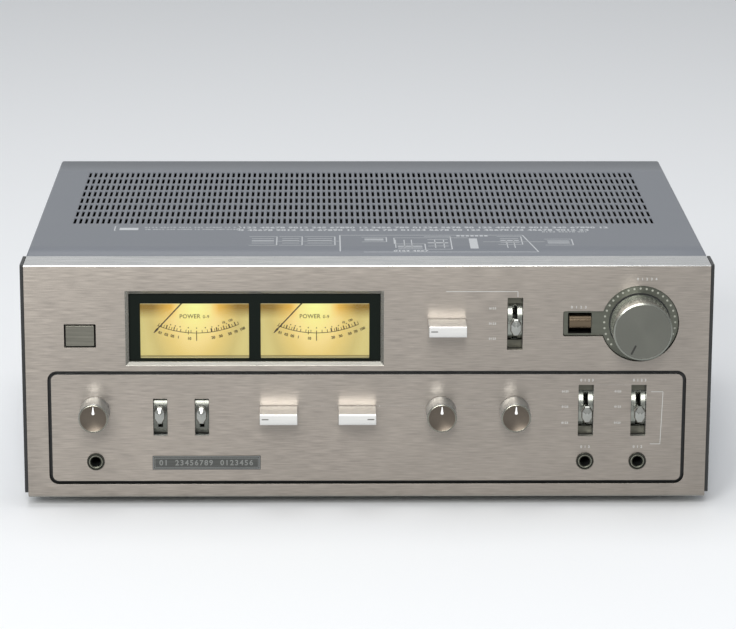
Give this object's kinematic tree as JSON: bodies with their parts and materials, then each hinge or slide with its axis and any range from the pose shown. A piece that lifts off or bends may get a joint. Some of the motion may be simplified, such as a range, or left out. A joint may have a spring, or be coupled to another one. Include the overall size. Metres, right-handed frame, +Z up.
{
  "type": "integrated amplifier",
  "caption": "Wide silver hi-fi amplifier with lit power meters, turned and bar-shaped knobs, toggle levers, jacks and a slotted grey cover.",
  "frame": {"origin": "centre of the bounding box, on the surface that the feet stand on", "axes": "+X to the right of someone facing the front, +Z up; the front faces -Y"},
  "size_m": [0.4602, 0.373, 0.1678],
  "materials": {
    "brushed_aluminium": "brushed, clear anodised",
    "turned_aluminium": "turned, clear anodised",
    "silver_bar": "satin",
    "bright_metal": "polished",
    "bright_moulding": "bright plated",
    "volume_metal": "satin face with a bright edge",
    "escutcheon_metal": "satin",
    "cover_steel": "satin grey-blue paint",
    "plated_steel": "plated sheet",
    "black_steel": "matt black paint",
    "black_plastic": "moulded",
    "black_rubber": "moulded",
    "clear_pane": "clear",
    "cream_dial": "lit cream",
    "needle_black": "painted black",
    "lamp_glass": "lamps on a strip",
    "circuit_board": "laminate",
    "transformer_steel": "varnished",
    "capacitor_sleeve": "sleeved can",
    "paddle_metal": "dark with a worn front",
    "button_plastic": "metallic"
  },
  "bodies": {
    "cabinet": {"front_panel": "brushed_aluminium", "lower_panel": "brushed_aluminium", "end_cap_left": "black_plastic", "end_cap_right": "black_plastic", "front_subchassis": "black_steel", "meter_frame": "black_plastic", "meter_window": "clear_pane", "meter_housing": "plated_steel", "meter_dial_left": "cream_dial", "meter_dial_right": "cream_dial", "meter_movement_left": "black_plastic", "meter_movement_right": "black_plastic", "meter_lamp_board": "lamp_glass", "power_switch": "black_plastic", "volume_control": "plated_steel", "volume_escutcheon": "escutcheon_metal", "muting_switch": "black_plastic", "speaker_selector": "plated_steel", "tone_board": "circuit_board", "function_selector": "plated_steel", "mode_switch": "bright_moulding", "tape_switch": "bright_moulding", "copy_switch": "bright_moulding", "low_filter_switch": "bright_moulding", "high_filter_switch": "bright_moulding", "phones_jack": "black_plastic", "aux_jack": "black_plastic", "mic_jack": "black_plastic", "top_cover": "cover_steel", "chassis": "plated_steel", "rear_panel": "black_steel", "foot_front_left": "black_rubber", "foot_front_right": "black_rubber", "foot_rear_left": "black_rubber", "foot_rear_right": "black_rubber", "power_transformer": "transformer_steel", "filter_capacitor_front": "capacitor_sleeve", "filter_capacitor_rear": "capacitor_sleeve", "heat_sink": "black_steel", "amplifier_board": "circuit_board", "speaker_terminals": "black_plastic", "input_terminals": "black_plastic", "ac_outlets": "black_plastic", "cord_gland": "black_rubber"},
    "power_button": {"power_button": "button_plastic"},
    "muting_paddle": {"muting_paddle": "paddle_metal"},
    "volume_knob": {"volume_knob": "volume_metal"},
    "speakers_knob": {"speakers_knob": "turned_aluminium"},
    "bass_knob": {"bass_knob": "turned_aluminium"},
    "treble_knob": {"treble_knob": "turned_aluminium"},
    "function_bar": {"function_bar": "silver_bar"},
    "bass_turnover_bar": {"bass_turnover_bar": "silver_bar"},
    "treble_turnover_bar": {"treble_turnover_bar": "silver_bar"},
    "mode_lever": {"mode_lever": "bright_metal"},
    "tape_lever": {"tape_lever": "bright_metal"},
    "copy_lever": {"copy_lever": "bright_metal"},
    "low_filter_lever": {"low_filter_lever": "bright_metal"},
    "high_filter_lever": {"high_filter_lever": "bright_metal"},
    "meter_needle_left": {"meter_needle_left": "needle_black"},
    "meter_needle_right": {"meter_needle_right": "needle_black"}
  },
  "joints": [
    {"name": "power_button_push", "type": "slide", "parent": "cabinet", "child": "power_button", "axis": [0, -1, 0], "range_m": [0, 0.004]},
    {"name": "muting_paddle_turn", "type": "hinge", "parent": "cabinet", "child": "muting_paddle", "pos_m": [0.1414, -0.1438, 0.1277], "axis": [1, 0, 0], "range_deg": [0, 6]},
    {"name": "volume_knob_turn", "type": "hinge", "parent": "cabinet", "child": "volume_knob", "pos_m": [0.1814, -0.1648, 0.1277], "axis": [0, 1, 0], "range_deg": [0, 300]},
    {"name": "speakers_knob_turn", "type": "hinge", "parent": "cabinet", "child": "speakers_knob", "pos_m": [-0.182, -0.1648, 0.0677], "axis": [0, 1, 0], "range_deg": [-60, 60]},
    {"name": "bass_knob_turn", "type": "hinge", "parent": "cabinet", "child": "bass_knob", "pos_m": [0.0494, -0.1648, 0.0677], "axis": [0, 1, 0], "range_deg": [-150, 150]},
    {"name": "treble_knob_turn", "type": "hinge", "parent": "cabinet", "child": "treble_knob", "pos_m": [0.0987, -0.1648, 0.0677], "axis": [0, 1, 0], "range_deg": [-150, 150]},
    {"name": "function_bar_turn", "type": "hinge", "parent": "cabinet", "child": "function_bar", "pos_m": [0.0528, -0.1648, 0.1277], "axis": [0, 1, 0], "range_deg": [0, 180]},
    {"name": "bass_turnover_bar_turn", "type": "hinge", "parent": "cabinet", "child": "bass_turnover_bar", "pos_m": [-0.0591, -0.1648, 0.0677], "axis": [0, 1, 0], "range_deg": [0, 180]},
    {"name": "treble_turnover_bar_turn", "type": "hinge", "parent": "cabinet", "child": "treble_turnover_bar", "pos_m": [-0.0068, -0.1648, 0.0677], "axis": [0, 1, 0], "range_deg": [-180, 0]},
    {"name": "mode_lever_turn", "type": "hinge", "parent": "cabinet", "child": "mode_lever", "pos_m": [0.0982, -0.1444, 0.1277], "axis": [1, 0, 0], "range_deg": [-20, 20]},
    {"name": "tape_lever_turn", "type": "hinge", "parent": "cabinet", "child": "tape_lever", "pos_m": [0.1465, -0.1444, 0.0677], "axis": [1, 0, 0], "range_deg": [-20, 20]},
    {"name": "copy_lever_turn", "type": "hinge", "parent": "cabinet", "child": "copy_lever", "pos_m": [0.1818, -0.1444, 0.0677], "axis": [1, 0, 0], "range_deg": [-20, 20]},
    {"name": "low_filter_lever_turn", "type": "hinge", "parent": "cabinet", "child": "low_filter_lever", "pos_m": [-0.1384, -0.1444, 0.0634], "axis": [1, 0, 0], "range_deg": [0, 16]},
    {"name": "high_filter_lever_turn", "type": "hinge", "parent": "cabinet", "child": "high_filter_lever", "pos_m": [-0.1106, -0.1444, 0.0634], "axis": [1, 0, 0], "range_deg": [0, 16]},
    {"name": "meter_needle_left_turn", "type": "hinge", "parent": "cabinet", "child": "meter_needle_left", "pos_m": [-0.1151, -0.1533, 0.1485], "axis": [0, -1, 0], "range_deg": [0, 85], "stiffness_Nm_per_rad": 0.0002, "springref_deg": -34.38},
    {"name": "meter_needle_right_turn", "type": "hinge", "parent": "cabinet", "child": "meter_needle_right", "pos_m": [-0.0349, -0.1533, 0.1485], "axis": [0, -1, 0], "range_deg": [0, 85], "stiffness_Nm_per_rad": 0.0002, "springref_deg": -34.38}
  ]
}
